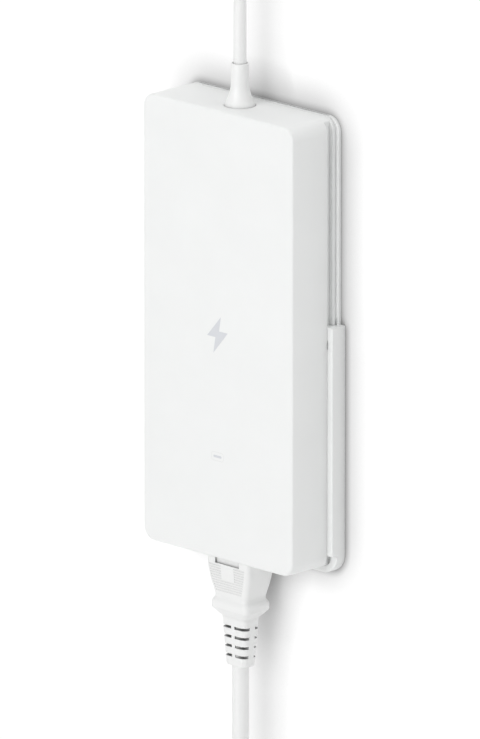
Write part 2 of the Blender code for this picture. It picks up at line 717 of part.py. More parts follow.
def electronics():
    board = block(
        (-BOARD_HALF_WIDTH, BOARD_HALF_WIDTH),
        (behind(BOARD_FRONT), behind(BOARD_FRONT + BOARD_THICKNESS)),
        (BOARD_BOTTOM, BOARD_TOP),
    )
    for number, (x, z) in enumerate(boss_places()[2:], 1):
        notch = rod(BOSS_RADIUS + 2 * FIT, (x, behind(18 * MM), z), (x, behind(26 * MM), z), 20)
        cut(board, notch, f"board_notch_{number}")
    keep(board, "circuit_board", board_green)
    sheet_z = (BOARD_BOTTOM, BOARD_TOP - 14 * MM)
    sheet = block((-40 * MM, 40 * MM), (behind(24.4 * MM), behind(24.9 * MM)), sheet_z)
    keep(sheet, "insulation_sheet", film)
    spreader_z = (-76 * MM, 84 * MM)
    spreader = block((-40 * MM, 40 * MM), (behind(2.4 * MM), behind(3.4 * MM)), spreader_z, 0.2 * MM)
    keep(spreader, "heat_spreader", aluminium)
    board_block("x_capacitor", (4, 30), (-76, -62), 8, yellow_box, 0.6 * MM)
    fuse_z = -70 * MM
    fuse = rod(2.6 * MM, (-36 * MM, behind(18.4 * MM), fuse_z), (-14 * MM, behind(18.4 * MM), fuse_z), 20)
    keep(fuse, "fuse", ceramic)
    wound_part("mains_choke", -25, -50, 24, 24, 4.5, 6)
    board_block("bridge_rectifier", (6, 32), (-56, -51.5), 6, black_plastic, 0.3 * MM)
    board_block("primary_heatsink", (2, 38), (-49.5, -47), 4.5, aluminium)
    board_block("switch_transistor", (10, 26), (-46.5, -42), 7, black_plastic, 0.3 * MM)
    wound_part("boost_choke", -25, -22, 26, 26, 5, 5)
    for number, x in enumerate((12, 31), 1):
        centre = behind(13 * MM)
        can = rod(8.4 * MM, (x * MM, centre, -38 * MM), (x * MM, centre, 4 * MM), 28)
        soften(can, 0.6 * MM)
        keep(can, f"bulk_capacitor_{number}", capacitor_sleeve)
    wound_part("transformer", -22, 22, 36, 40, 7, 4.6)
    board_block("secondary_heatsink", (4, 38), (12, 14.5), 4.5, aluminium)
    board_block("output_rectifier", (10, 30), (15, 19.5), 7, black_plastic, 0.3 * MM)
    for number, x in enumerate((8, 20, 32), 1):
        board_can(f"output_capacitor_{number}", x, 34, 5, 6)
    wound_part("output_choke", -22, 66, 22, 22, 4, 8)


def inner_wires():
    """From the inlet's pins up to the board, and from the board to the output gland."""
    wire = 0.9 * MM
    board_end = behind(PART_BASE)
    inlet_top = HOUSING_BOTTOM + NOSE_LENGTH + 2 * FIT + 7 * MM
    for pin, end_x in (("line", -30 * MM), ("neutral", 22 * MM), ("earth", -4 * MM)):
        x, y = PIN_PLACES[pin]
        start = inlet_top + FIT
        route = [
            (x, PLUG_Y + y, start),
            (x, PLUG_Y + y, start + 1.7 * MM),
            ((x + end_x) / 2, PLUG_Y + 4.5 * MM, BOARD_BOTTOM + 0.3 * MM),
            (end_x, board_end - 2.2 * MM, BOARD_BOTTOM + 1 * MM),
        ]
        tube("inlet_wire_" + pin, route, wire, 3 * MM, copper)
    for word, side in (("positive", -1), ("negative", 1)):
        x = side * 1.4 * MM
        route = [
            (x, LEAD_Y, HOUSING_TOP - 4.6 * MM),
            (x, LEAD_Y, HOUSING_TOP - 8 * MM),
            (x * 3, behind(17 * MM), HOUSING_TOP - 15 * MM),
            (x * 3, board_end - 1 * MM, HOUSING_TOP - 20 * MM),
        ]
        tube("output_wire_" + word, route, wire, 3 * MM, red_wire if side < 0 else black_plastic)


clear_scene()
parts = new_collection("wall_power_adapter")
cutters = new_collection("cutters")

white_shell = material("white_shell", (0.88, 0.89, 0.88), 0.42)
white_soft = material("white_soft", (0.86, 0.87, 0.86), 0.5)
white_cord = material("white_cord", (0.87, 0.88, 0.87), 0.5)
black_plastic = material("black_plastic", (0.03, 0.03, 0.03), 0.45)
steel = material("steel", (0.6, 0.6, 0.6), 0.3, 1.0)
nickel = material("nickel", (0.72, 0.7, 0.66), 0.25, 1.0)
brass = material("brass", (0.75, 0.6, 0.32), 0.3, 1.0)
copper = material("copper", (0.72, 0.36, 0.2), 0.35, 1.0)
aluminium = material("aluminium", (0.78, 0.79, 0.8), 0.35, 1.0)
ferrite = material("ferrite", (0.07, 0.07, 0.075), 0.7)
ceramic = material("ceramic", (0.8, 0.78, 0.7), 0.35)
board_green = material("board_green", (0.03, 0.2, 0.08), 0.4)
film = material("film", (0.85, 0.82, 0.7), 0.3)
yellow_box = material("yellow_box", (0.8, 0.62, 0.1), 0.4)
capacitor_sleeve = material("capacitor_sleeve", (0.04, 0.06, 0.12), 0.35)
red_wire = material("red_wire", (0.6, 0.04, 0.03), 0.45)

wall_mount()
front_housing()
rear_cover()
cover_screws()
output_gland()
output_lead()
output_connector()
mains_inlet()
mains_plug()
mains_cord()
wall_plug()
electronics()
inner_wires()
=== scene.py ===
"""Looks of a white wall-mounted power adapter: its shells, cradle, plugs and cords, in the frame's metres."""

import math

import bmesh
import bpy
from mathutils import Matrix, Vector


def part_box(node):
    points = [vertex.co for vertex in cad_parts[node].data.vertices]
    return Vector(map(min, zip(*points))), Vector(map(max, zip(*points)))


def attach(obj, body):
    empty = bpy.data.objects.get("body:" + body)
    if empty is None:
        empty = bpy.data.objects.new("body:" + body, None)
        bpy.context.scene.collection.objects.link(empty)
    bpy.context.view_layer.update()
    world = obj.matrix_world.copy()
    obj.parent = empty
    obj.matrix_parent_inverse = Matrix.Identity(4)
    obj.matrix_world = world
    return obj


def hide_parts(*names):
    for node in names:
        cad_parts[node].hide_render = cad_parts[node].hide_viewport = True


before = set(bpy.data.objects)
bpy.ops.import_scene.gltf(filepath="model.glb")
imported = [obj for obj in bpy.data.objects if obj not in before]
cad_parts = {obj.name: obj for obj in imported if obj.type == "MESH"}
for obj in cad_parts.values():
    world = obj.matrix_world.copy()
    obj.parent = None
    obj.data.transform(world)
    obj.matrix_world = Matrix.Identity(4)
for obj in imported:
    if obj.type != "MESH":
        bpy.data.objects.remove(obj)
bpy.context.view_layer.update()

MM = 0.001

# ---------------------------------------------------------------- places, from the frame
housing_low, housing_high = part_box("front_housing")
cover_low, cover_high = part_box("rear_cover")
cradle_low, cradle_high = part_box("wall_mount")
gland_low, gland_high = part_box("output_gland")
lead_low, lead_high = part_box("output_lead")
plug_low, plug_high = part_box("mains_plug")
coil_low, coil_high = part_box("mains_cord_coil")
tie_low, tie_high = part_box("cord_tie")
wall_plug_low, wall_plug_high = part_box("wall_plug")

FRONT_Y = housing_low.y
HOUSING_BOTTOM = housing_low.z
HOUSING_TOP = housing_high.z
HALF_WIDTH = housing_high.x
LEAD_Y = (lead_low.y + lead_high.y) / 2
PLUG_Y = (plug_low.y + plug_high.y) / 2
COIL_Z = (coil_low.z + coil_high.z) / 2

HOUSING_CORNER = 6.4 * MM
SIDE_DEPTH = 22.45 * MM
GROOVE_DEPTH = 2.5 * MM
CORD_RADIUS = 3.9 * MM
CORD_BORE = CORD_RADIUS + 0.05 * MM
LEAD_RADIUS = 2.98 * MM
COIL_SLOTS = [(44.9, -13.6), (37.1, -13.6), (33.2, -6.85), (41.0, -6.85), (48.8, -6.85)]  # radius, Y


def behind(depth):
    """The Y of a place this far behind the housing's front face."""
    return FRONT_Y + depth


# ---------------------------------------------------------------- camera and stage
VIEW_AZIMUTH = math.radians(45.0)
VIEW_ELEVATION = math.radians(15.6)
VIEW_LENS = 1040.0
VIEW_DISTANCE = 9.7044
VIEW_ACROSS = -0.01152
VIEW_UP = -0.020013
VIEW_NEAR = 0.0115
WALL_GAP = 0.1 * MM
FLOOR_Z = -0.62
STUDIO_LIGHT = 0.24
KEY_PLACE = (0.15, -4.2, 0.9)
KEY_SIZE = 2.2
KEY_POWER = 95
TOP_PLACE = (0.3, -1.2, 3.2)
TOP_SIZE = 2.4
TOP_POWER = 29
# Painted shadow on the wall: its glow dims near what hangs on it over these reaches, and its own grey is kept
# low so that the glow, not the lamps, sets its brightness.
SHADOW_REACH = 20 * MM
SHADOW_DEPTH = 1.0
CONTACT_SHADOW_REACH = 4 * MM
WALL_GLOW = 0.9
WALL_GREY = (0.15, 0.15, 0.15, 1)
STAGE_SIZE = 12
# Painted shade in the creases of the soft mouldings:
CREASE_SHADE_REACH = 2.2 * MM
CREASE_SHADE_COLOUR = (0.012, 0.012, 0.012, 1)


def camera():
    sin_a, cos_a = math.sin(VIEW_AZIMUTH), math.cos(VIEW_AZIMUTH)
    sin_e, cos_e = math.sin(VIEW_ELEVATION), math.cos(VIEW_ELEVATION)
    back = Vector((sin_a * cos_e, -cos_a * cos_e, sin_e))
    right = Vector((cos_a, sin_a, 0))
    up = back.cross(right)
    data = bpy.data.cameras.new("camera")
    data.lens = VIEW_LENS
    data.clip_start = 0.1
    data.clip_end = 100
    made = bpy.data.objects.new("camera", data)
    bpy.context.scene.collection.objects.link(made)
    turn = Matrix((right, up, back)).transposed().to_4x4()
    target = right * VIEW_ACROSS + up * VIEW_UP + back * VIEW_NEAR
    made.matrix_world = Matrix.Translation(target + back * VIEW_DISTANCE) @ turn
    bpy.context.scene.camera = made


def area_light(name, place, aim, size, power):
    data = bpy.data.lights.new(name, "AREA")
    data.shape = "RECTANGLE"
    data.size = data.size_y = size
    data.energy = power
    made = bpy.data.objects.new(name, data)
    bpy.context.scene.collection.objects.link(made)
    place = Vector(place)
    made.location = place
    made.rotation_euler = (Vector(aim) - place).to_track_quat("-Z", "Y").to_euler()
    return made


def stage():
    """A white wall behind the adapter, glowing and carrying a painted shadow, clear when seen from behind,
    and a pale floor far below.
    """
    bpy.ops.object.select_all(action="DESELECT")
    bpy.ops.mesh.primitive_plane_add(size=STAGE_SIZE, location=(0, WALL_GAP, 0), rotation=(math.pi / 2, 0, 0))
    wall = bpy.context.active_object
    wall.name = "backdrop_wall"
    wall.data.materials.append(shadowed_glowing_wall())
    bpy.ops.mesh.primitive_plane_add(size=STAGE_SIZE, location=(0, 0, FLOOR_Z))
    floor = bpy.context.active_object
    floor.name = "floor"
    floor.data.materials.append(floor_white())
    bpy.context.scene.view_settings.view_transform = "Standard"
    world = bpy.data.worlds.new("studio")
    world.use_nodes = True
    world.node_tree.nodes["Background"].inputs["Color"].default_value = (1, 1, 1, 1)
    world.node_tree.nodes["Background"].inputs["Strength"].default_value = STUDIO_LIGHT
    bpy.context.scene.world = world
    area_light("key", KEY_PLACE, (0, 0, 0), KEY_SIZE, KEY_POWER)
    area_light("overhead", TOP_PLACE, (0, 0, 0), TOP_SIZE, TOP_POWER)


# ---------------------------------------------------------------- materials
def blank(name):
    made = bpy.data.materials.new(name)
    made.use_nodes = True
    tree = made.node_tree
    return made, tree, tree.nodes["Principled BSDF"]


def nearness(tree, reach, depth):
    """One in the open, falling to nothing where other surfaces close in within reach; it sets the painted
    shade below.
    """
    close = tree.nodes.new("ShaderNodeAmbientOcclusion")
    close.samples = 16
    close.inputs["Distance"].default_value = reach
    power = tree.nodes.new("ShaderNodeMath")
    power.operation = "POWER"
    power.inputs[1].default_value = depth
    tree.links.new(close.outputs["AO"], power.inputs[0])
    return power.outputs["Value"]


def shadowed_glowing_wall():
    """White wall whose glow is dimmed into a painted shadow close to what hangs on it, and clear from behind.
    """
    made, tree, shader = blank("wall_glow_and_painted_shadow")
    shader.inputs["Roughness"].default_value = 1.0
    shader.inputs["Specular IOR Level"].default_value = 0.0
    close = nearness(tree, SHADOW_REACH, SHADOW_DEPTH)
    touching = nearness(tree, CONTACT_SHADOW_REACH, SHADOW_DEPTH)
    depth = tree.nodes.new("ShaderNodeMath")
    depth.operation = "MULTIPLY"
    tree.links.new(close, depth.inputs[0])
    tree.links.new(touching, depth.inputs[1])
    shader.inputs["Base Color"].default_value = WALL_GREY
    # Painted shadow: the glow that makes the wall white is dimmed by nearness to the adapter.
    tree.links.new(depth.outputs["Value"], shader.inputs["Emission Color"])
    shader.inputs["Emission Strength"].default_value = WALL_GLOW
    side = tree.nodes.new("ShaderNodeNewGeometry")
    clear = tree.nodes.new("ShaderNodeBsdfTransparent")
    mix = tree.nodes.new("ShaderNodeMixShader")
    tree.links.new(side.outputs["Backfacing"], mix.inputs["Fac"])
    tree.links.new(shader.outputs["BSDF"], mix.inputs[1])
    tree.links.new(clear.outputs["BSDF"], mix.inputs[2])
    tree.links.new(mix.outputs["Shader"], tree.nodes["Material Output"].inputs["Surface"])
    return made


def floor_white():
    made, tree, shader = blank("pale_floor")
    shader.inputs["Base Color"].default_value = (0.8, 0.8, 0.8, 1)
    shader.inputs["Roughness"].default_value = 0.8
    return made


def object_coordinates(tree):
    return tree.nodes.new("ShaderNodeTexCoord").outputs["Object"]


def noise(tree, scale, detail=2.0):
    node = tree.nodes.new("ShaderNodeTexNoise")
    node.inputs["Scale"].default_value = scale
    node.inputs["Detail"].default_value = detail
    tree.links.new(object_coordinates(tree), node.inputs["Vector"])
    return node.outputs["Fac"]


def spread(tree, value, low, high):
    """A 0 to 1 value brought between two limits."""
    node = tree.nodes.new("ShaderNodeMapRange")
    node.inputs["From Min"].default_value = 0.3
    node.inputs["From Max"].default_value = 0.7
    node.inputs["To Min"].default_value = low
    node.inputs["To Max"].default_value = high
    tree.links.new(value, node.inputs["Value"])
    return node.outputs["Result"]


def tint(tree, value, low, high):
    ramp = tree.nodes.new("ShaderNodeValToRGB")
    ramp.color_ramp.elements[0].position = 0.3
    ramp.color_ramp.elements[0].color = (*low, 1)
    ramp.color_ramp.elements[1].position = 0.7
    ramp.color_ramp.elements[1].color = (*high, 1)
    tree.links.new(value, ramp.inputs["Fac"])
    return ramp.outputs["Color"]


def bump(tree, shader, value, strength, distance):
    node = tree.nodes.new("ShaderNodeBump")
    node.inputs["Strength"].default_value = strength
    node.inputs["Distance"].default_value = distance
    tree.links.new(value, node.inputs["Height"])
    tree.links.new(node.outputs["Normal"], shader.inputs["Normal"])


def painted_crease_shade(tree, colour, depth):
    """Painted shade: colour darkened where faces close in on each other."""
    mix = tree.nodes.new("ShaderNodeMix")
    mix.data_type = "RGBA"
    mix.inputs[6].default_value = CREASE_SHADE_COLOUR
    tree.links.new(nearness(tree, CREASE_SHADE_REACH, depth), mix.inputs[0])
    tree.links.new(colour, mix.inputs[7])
    return mix.outputs[2]


def moulded(
    name, low, high, rough, grain_scale=2600, grain=0.25, grain_depth=0.00004, metal=0.0, specular=0.5,
    crease_shade=0,
):
    """Moulded plastic, rubber or metal: drifting colour, fine grain and uneven gloss, and where asked,
    painted shade darkening the colour in creases.
    """
    made, tree, shader = blank(name)
    drift = noise(tree, 35, 3)
    colour = tint(tree, drift, low, high)
    if crease_shade:
        colour = painted_crease_shade(tree, colour, crease_shade)
    tree.links.new(colour, shader.inputs["Base Color"])
    grains = noise(tree, grain_scale, 2)
    smudge = noise(tree, 90, 4)
    tree.links.new(spread(tree, smudge, rough - 0.05, rough + 0.05), shader.inputs["Roughness"])
    shader.inputs["Metallic"].default_value = metal
    shader.inputs["Specular IOR Level"].default_value = specular
    bump(tree, shader, grains, grain, grain_depth)
    return made


def make_materials():
    return {
        "shell": moulded("satin_shell", (0.875, 0.885, 0.88), (0.89, 0.90, 0.895), 0.5, specular=0.35),
        # The soft mouldings get painted shade in their creases.
        "soft": moulded(
            "soft_moulding", (0.87, 0.875, 0.87), (0.885, 0.89, 0.885), 0.42, 1800, 0.2, crease_shade=1.0
        ),
        "sheath": moulded("cord_sheath", (0.86, 0.865, 0.86), (0.88, 0.885, 0.88), 0.4, 1500, 0.15),
        "black": moulded("black_moulding", (0.02, 0.02, 0.02), (0.035, 0.035, 0.035), 0.45, 2200, 0.3),
        "steel": moulded("plated_steel", (0.55, 0.55, 0.55), (0.66, 0.66, 0.65), 0.3, 900, 0.1, 0.00002, 1.0),
        "nickel": moulded(
            "nickel_plate", (0.66, 0.64, 0.6), (0.74, 0.72, 0.68), 0.24, 900, 0.08, 0.00002, 1.0
        ),
        "brass": moulded("stamped_brass", (0.7, 0.54, 0.27), (0.78, 0.63, 0.35), 0.3, 900, 0.1, 0.00002, 1.0),
        "aluminium": moulded(
            "mill_aluminium", (0.68, 0.69, 0.7), (0.8, 0.81, 0.82), 0.38, 700, 0.2, 0.00003, 1.0
        ),
        "ferrite": moulded("sintered_ferrite", (0.05, 0.05, 0.055), (0.09, 0.09, 0.095), 0.72, 1500, 0.5),
        "ceramic": moulded("glazed_ceramic", (0.72, 0.7, 0.62), (0.82, 0.8, 0.72), 0.25, 1200, 0.05),
        "film": moulded("polyester_film", (0.78, 0.75, 0.62), (0.86, 0.83, 0.7), 0.3, 800, 0.05),
        "yellow": moulded("capacitor_box", (0.72, 0.55, 0.07), (0.8, 0.62, 0.1), 0.4, 2000, 0.2),
        "sleeve": moulded("shrink_sleeve", (0.03, 0.05, 0.1), (0.05, 0.07, 0.14), 0.3, 900, 0.1),
        "red": moulded("red_insulation", (0.5, 0.03, 0.02), (0.62, 0.05, 0.04), 0.45),
        "brown": moulded("brown_insulation", (0.2, 0.1, 0.04), (0.27, 0.13, 0.06), 0.45),
        "blue": moulded("blue_insulation", (0.04, 0.12, 0.42), (0.06, 0.16, 0.52), 0.45),
        "green": moulded("green_insulation", (0.16, 0.42, 0.06), (0.22, 0.52, 0.1), 0.45),
        "copper": winding_copper(),
        "board": circuit_board(),
    }


def winding_copper():
    """Enamelled wire laid side by side: fine bands across the depth."""
    made, tree, shader = blank("wound_copper")
    waves = tree.nodes.new("ShaderNodeTexWave")
    waves.bands_direction = "Y"
    waves.inputs["Scale"].default_value = 330
    waves.inputs["Distortion"].default_value = 0.4
    tree.links.new(object_coordinates(tree), waves.inputs["Vector"])
    tree.links.new(
        tint(tree, waves.outputs["Fac"], (0.36, 0.13, 0.05), (0.78, 0.36, 0.17)), shader.inputs["Base Color"]
    )
    shader.inputs["Metallic"].default_value = 0.9
    shader.inputs["Roughness"].default_value = 0.3
    bump(tree, shader, waves.outputs["Fac"], 0.8, 0.0004)
    return made


def circuit_board():
    """Green solder mask with lighter copper runs under it."""
    made, tree, shader = blank("solder_mask")
    runs = tree.nodes.new("ShaderNodeTexBrick")
    runs.inputs["Scale"].default_value = 90
    runs.inputs["Color1"].default_value = (0.02, 0.16, 0.06, 1)
    runs.inputs["Color2"].default_value = (0.03, 0.22, 0.09, 1)
    runs.inputs["Mortar"].default_value = (0.01, 0.1, 0.04, 1)
    tree.links.new(object_coordinates(tree), runs.inputs["Vector"])
    tree.links.new(runs.outputs["Color"], shader.inputs["Base Color"])
    shader.inputs["Roughness"].default_value = 0.35
    bump(tree, shader, noise(tree, 900), 0.1, 0.00003)
    return made


# ---------------------------------------------------------------- modelling helpers
def alone(obj):
    bpy.ops.object.select_all(action="DESELECT")
    bpy.context.view_layer.objects.active = obj
    obj.select_set(True)


def add_block(name, low, high):
    """A box between two corners, placed in its mesh."""
    bpy.ops.object.select_all(action="DESELECT")
    low, high = Vector(low), Vector(high)
    bpy.ops.mesh.primitive_cube_add(size=1, location=(low + high) / 2)
    obj = bpy.context.active_object
    obj.name = name
    obj.scale = high - low
    bpy.ops.object.transform_apply(location=True, rotation=True, scale=True)
    return obj


def add_rod(name, radius, start, end, sides=48):
    bpy.ops.object.select_all(action="DESELECT")
    start, end = Vector(start), Vector(end)
    run = end - start
    turn = run.to_track_quat("Z", "Y").to_euler()
    bpy.ops.mesh.primitive_cylinder_add(
        vertices=sides, radius=radius, depth=run.length, location=(start + end) / 2, rotation=turn
    )
    obj = bpy.context.active_object
    obj.name = name
    bpy.ops.object.transform_apply(location=True, rotation=True, scale=True)
    return obj


def pick_edges(obj, wanted):
    """Go into edit mode with only the edges for which wanted(one end, other end) is true."""
    alone(obj)
    bpy.ops.object.mode_set(mode="EDIT")
    bpy.ops.mesh.select_mode(type="EDGE")
    bpy.ops.mesh.select_all(action="DESELECT")
    mesh = bmesh.from_edit_mesh(obj.data)
    for edge in mesh.edges:
        a, b = (vert.co for vert in edge.verts)
        edge.select = wanted(a, b)
    mesh.select_flush_mode()
    bmesh.update_edit_mesh(obj.data)


def pick_faces(obj, wanted):
    """Go into edit mode with only the faces for which wanted(centre, normal) is true."""
    alone(obj)
    bpy.ops.object.mode_set(mode="EDIT")
    bpy.ops.mesh.select_mode(type="FACE")
    bpy.ops.mesh.select_all(action="DESELECT")
    mesh = bmesh.from_edit_mesh(obj.data)
    for face in mesh.faces:
        face.select = wanted(face.calc_center_median(), face.normal)
    mesh.select_flush_mode()
    bmesh.update_edit_mesh(obj.data)


def leave_edit():
    bpy.ops.object.mode_set(mode="OBJECT")


def round_edges(obj, wanted, width, segments):
    pick_edges(obj, wanted)
    bpy.ops.mesh.bevel(offset=width, segments=segments, affect="EDGES", clamp_overlap=True)
    leave_edit()
    return obj


def carve(obj, cutter, operation="DIFFERENCE"):
    """Cut or join a helper shape, which is then removed."""
    modifier = obj.modifiers.new("carve", "BOOLEAN")
    modifier.operation = operation
    modifier.solver = "EXACT"
    modifier.object = cutter
    alone(obj)
    bpy.ops.object.modifier_apply(modifier=modifier.name)
    bpy.data.objects.remove(cutter, do_unlink=True)
    return obj


def edge_bevel(obj, width, segments=2, angle=35):
    modifier = obj.modifiers.new("edges", "BEVEL")
    modifier.width = width
    modifier.segments = segments
    modifier.limit_method = "ANGLE"
    modifier.angle_limit = math.radians(angle)
    modifier.harden_normals = True
    modifier.miter_outer = "MITER_ARC"
    alone(obj)
    bpy.ops.object.modifier_apply(modifier=modifier.name)
    return obj


def smooth(obj, angle=35):
    alone(obj)
    bpy.ops.object.shade_smooth_by_angle(angle=math.radians(angle))
    return obj


def finish_piece(obj, look, slot, body, *nodes, angle=35):
    smooth(obj, angle)
    obj.data.materials.clear()
    obj.data.materials.append(look)
    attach(obj, body)
    if nodes:
        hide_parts(*nodes)
    return obj


def upright(a, b):
    return abs(a.x - b.x) < 1e-6 and abs(a.y - b.y) < 1e-6


def along_depth(a, b):
    return abs(a.x - b.x) < 1e-6 and abs(a.z - b.z) < 1e-6


# ---------------------------------------------------------------- shells and cradle
WALL = 2 * MM
FIT = 0.3 * MM
PAST = 5 * MM  # how far a cutter runs beyond the face that it cuts
SHORT_PAST = 2 * MM
FRONT_EDGE = 1.1 * MM
INNER_CORNER = 5 * MM
BOSS_RADIUS = 3.6 * MM
BOSS_BORE = 1.6 * MM
COVER_INSET = 0.55 * MM
COVER_HOLE = 1.7 * MM
COVER_SEAT = 3.0 * MM
GLAND_HOLE = 4.4 * MM
GLAND_RECESS = 7.4 * MM
SHELF_DEPTH = 25.6 * MM
FLANGE_CORNER = 9 * MM
RIB_INSET = 1.15 * MM
RIB_WIDTH = 3 * MM
DETENT_RADIUS = 0.75 * MM
DETENT_STRETCH = 2.8
DETENT_DROP = 8.3 * MM
WALL_SCREW_RADIUS = 2.1 * MM
SCREW_SHANK = 1.3 * MM
SCREW_HEAD = 2.6 * MM
SCREW_HEAD_HEIGHT = 1.1 * MM
CRADLE_OVERHANG = cradle_high.x - HALF_WIDTH
FLANGE_TOP = HOUSING_TOP - 97 * MM
RAIL_BOTTOM = HOUSING_BOTTOM + 6.2 * MM
PLATE_HALF = 48.5 * MM
PLATE_FRONT = -1.6 * MM
PLATE_CORNER = 7 * MM
BOSSES = [(x, z) for z in (HOUSING_BOTTOM + 9 * MM, HOUSING_TOP - 9 * MM) for x in (-36.5 * MM, 36.5 * MM)]
WALL_SCREWS = [(x, z) for z in (-65 * MM, 70 * MM) for x in (-25 * MM, 25 * MM)]


def rounded_block(name, low, high, corner, segments=12):
    """A box whose edges along the depth are rounded."""
    return round_edges(add_block(name, low, high), along_depth, corner, segments)


def housing_shell():
    back = cover_low.y - 0.03 * MM
    shell = rounded_block(
        "housing_shell",
        (-HALF_WIDTH, FRONT_Y, HOUSING_BOTTOM),
        (HALF_WIDTH, back, HOUSING_TOP),
        HOUSING_CORNER,
        16,
    )
    round_edges(shell, lambda a, b: max(a.y, b.y) < FRONT_Y + 1e-6, FRONT_EDGE, 5)
    groove_y = behind(SIDE_DEPTH)
    groove_x = HALF_WIDTH - GROOVE_DEPTH
    for side in (-1, 1):
        x = sorted((side * groove_x, side * (HALF_WIDTH + PAST)))
        low = (x[0], groove_y, HOUSING_BOTTOM - PAST)
        carve(shell, add_block("groove", low, (x[1], back + SHORT_PAST, HOUSING_TOP + PAST)))

    def groove_edge(a, b):
        level = abs(a.y - groove_y) < 1e-6 and abs(b.y - groove_y) < 1e-6
        return level and min(abs(a.x), abs(b.x)) > groove_x + 1e-5

    round_edges(shell, groove_edge, 0.12 * MM, 2)
    inner_x = HALF_WIDTH - WALL
    low_z, high_z = HOUSING_BOTTOM + WALL, HOUSING_TOP - WALL
    hollow_high = (inner_x, behind(20 * MM), high_z)
    carve(shell, rounded_block("hollow", (-inner_x, FRONT_Y + WALL, low_z), hollow_high, INNER_CORNER, 8))
    neck_x = groove_x - WALL
    neck_low = (-neck_x, behind(18 * MM), low_z)
    carve(shell, rounded_block("neck", neck_low, (neck_x, back + 3 * MM, high_z), INNER_CORNER, 8))
    for x, z in BOSSES:
        carve(shell, add_rod("boss", BOSS_RADIUS, (x, FRONT_Y + WALL / 2, z), (x, back - FIT, z)), "UNION")
        carve(shell, add_rod("bore", BOSS_BORE, (x, behind(14 * MM), z), (x, back + SHORT_PAST, z), 24))
    inlet_low, inlet_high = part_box("mains_inlet")
    opening_low = (inlet_low.x - FIT, inlet_low.y - FIT, HOUSING_BOTTOM - PAST)
    opening_high = (inlet_high.x + FIT, inlet_high.y + FIT, HOUSING_BOTTOM + PAST)
    carve(shell, add_block("inlet_opening", opening_low, opening_high))
    above = (0, LEAD_Y, HOUSING_TOP + PAST)
    carve(shell, add_rod("gland_hole", GLAND_HOLE, (0, LEAD_Y, HOUSING_TOP - 6 * MM), above))
    carve(shell, add_rod("gland_recess", GLAND_RECESS, (0, LEAD_Y, HOUSING_TOP - 0.9 * MM), above, 64))
    return finish_piece(shell, looks["shell"], "shell_white", "adapter", "front_housing")


def rear_cover_plate():
    x = HALF_WIDTH - COVER_INSET
    cover = rounded_block(
        "rear_cover_plate",
        (-x, cover_low.y, HOUSING_BOTTOM + 0.1 * MM),
        (x, cover_high.y, HOUSING_TOP - 0.06 * MM),
        HOUSING_CORNER - COVER_INSET,
        16,
    )

    def back_rim(a, b):
        return min(a.y, b.y) > cover_high.y - 1e-6 and max(abs(a.x), abs(b.x)) > 30 * MM

    round_edges(cover, back_rim, 0.3 * MM, 3)
    for x, z in BOSSES:
        out = (x, cover_high.y + SHORT_PAST, z)
        carve(cover, add_rod("hole", COVER_HOLE, (x, cover_low.y - SHORT_PAST, z), out, 24))
        carve(cover, add_rod("seat", COVER_SEAT, (x, cover_low.y + 0.8 * MM, z), out, 32))
    return finish_piece(cover, looks["shell"], "shell_white", "adapter", "rear_cover")


def detent(x, y, z):
    """Shallow oval dimple, cut where the flange's front meets the housing."""
    dimple = add_rod("dimple", DETENT_RADIUS, (x, y - 1 * MM, z), (x, y + 0.5 * MM, z), 32)
    alone(dimple)
    bpy.ops.object.mode_set(mode="EDIT")
    bpy.ops.mesh.select_all(action="SELECT")
    bpy.ops.transform.resize(value=(1, 1, DETENT_STRETCH), center_override=(x, y, z))
    leave_edit()
    return dimple


def backing_rib(top):
    """Raised edge along the plate's top and upper sides, just clear of the housing's cover."""
    front = cover_high.y + 0.12 * MM
    reach = PLATE_HALF - RIB_INSET
    low = (-reach, front, FLANGE_TOP - 1 * MM)
    rib = rounded_block("rib", low, (reach, PLATE_FRONT / 2, top), PLATE_CORNER - RIB_INSET, 12)
    inside = (-reach + RIB_WIDTH, front - SHORT_PAST, FLANGE_TOP - 9 * MM)
    carve(rib, rounded_block("inside", inside, (reach - RIB_WIDTH, 1 * MM, top - RIB_WIDTH), 3 * MM, 8))
    return rib


